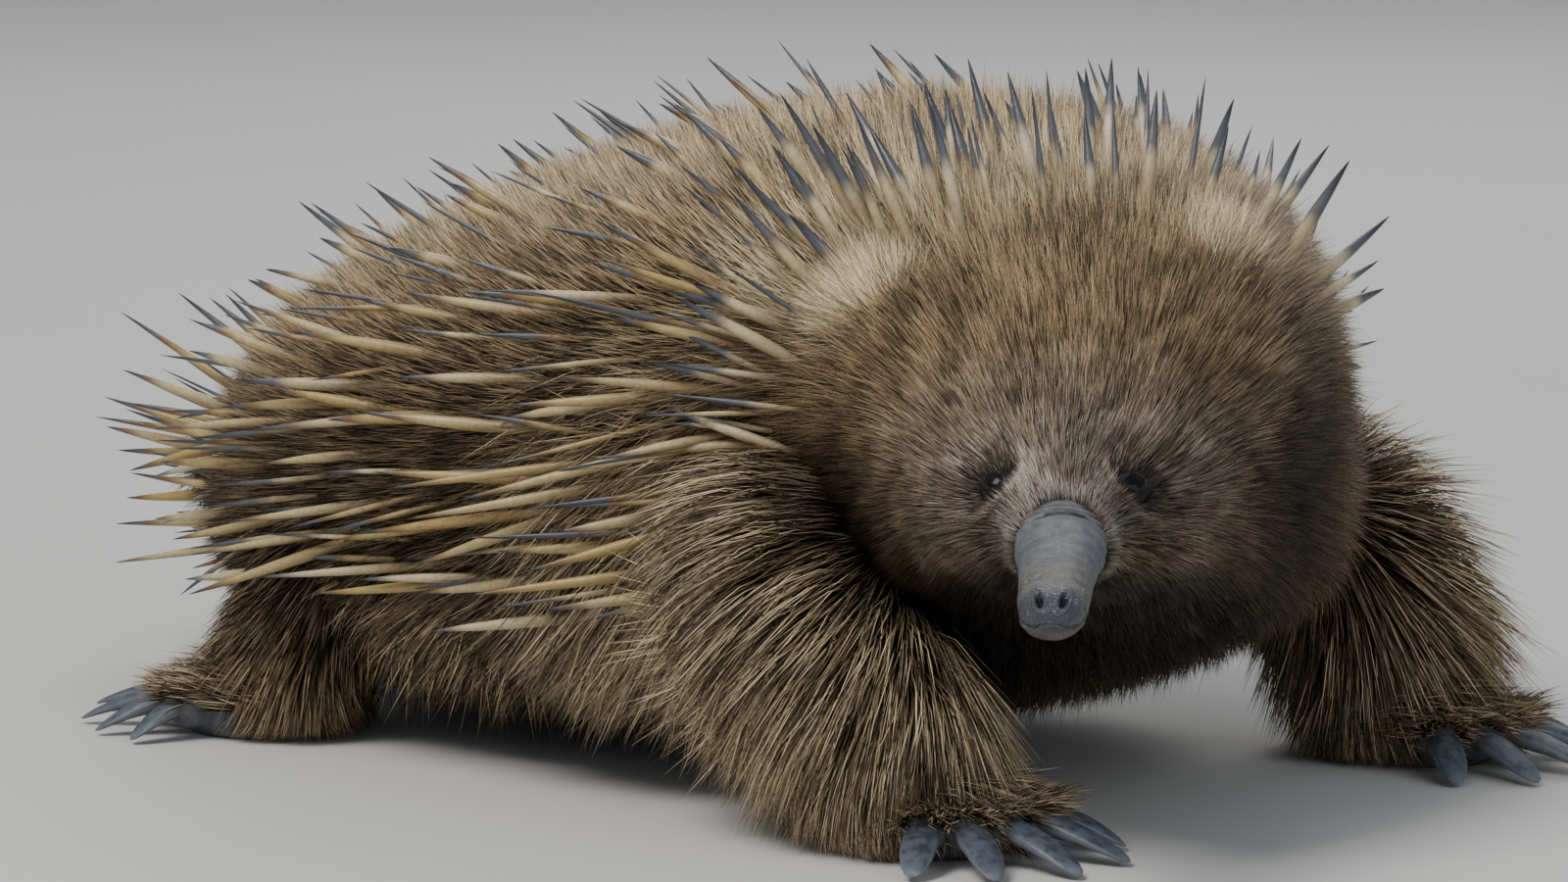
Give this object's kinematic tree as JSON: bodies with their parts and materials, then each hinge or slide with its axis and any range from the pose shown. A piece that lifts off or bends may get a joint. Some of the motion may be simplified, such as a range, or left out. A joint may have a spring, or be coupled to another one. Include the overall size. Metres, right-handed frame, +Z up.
{
  "type": "short-beaked echidna",
  "caption": "Life-size standing short-beaked echidna with a dense brown coat, long pale spines and a bare grey beak, looking round to its right.",
  "frame": {"origin": "on the floor, under the middle of the whole animal's outline seen from above", "axes": "+X is the way the trunk faces, +Y is the animal's left side, +Z is up; the head is turned to the right, towards -Y"},
  "size_m": [0.44, 0.2564, 0.1598],
  "materials": {
    "coat": "dense soft fur with smooth hard spines, cream with dark tips",
    "beak_skin": "bare grey skin, matt, a little shiny at the tip",
    "ear_skin": "thin bare skin",
    "eye": "wet and dark",
    "claw": "blue-grey horn, worn smooth"
  },
  "bodies": {
    "root": {"beak": "beak_skin", "claw_fore_left_1": "claw", "claw_fore_left_2": "claw", "claw_fore_left_3": "claw", "claw_fore_left_4": "claw", "claw_fore_left_5": "claw", "claw_fore_right_1": "claw", "claw_fore_right_2": "claw", "claw_fore_right_3": "claw", "claw_fore_right_4": "claw", "claw_fore_right_5": "claw", "claw_hind_left_1": "claw", "claw_hind_left_2": "claw", "claw_hind_left_3": "claw", "claw_hind_left_4": "claw", "claw_hind_left_5": "claw", "claw_hind_right_1": "claw", "claw_hind_right_2": "claw", "claw_hind_right_3": "claw", "claw_hind_right_4": "claw", "claw_hind_right_5": "claw", "ear_left": "ear_skin", "ear_right": "ear_skin", "eye_left": "eye", "eye_right": "eye", "forefoot_left": "coat", "forefoot_right": "coat", "foreleg_left": "coat", "foreleg_right": "coat", "head": "coat", "hindfoot_left": "coat", "hindfoot_right": "coat", "hindleg_left": "coat", "hindleg_right": "coat", "neck": "coat", "tail": "coat", "torso": "coat"}
  },
  "joints": []
}
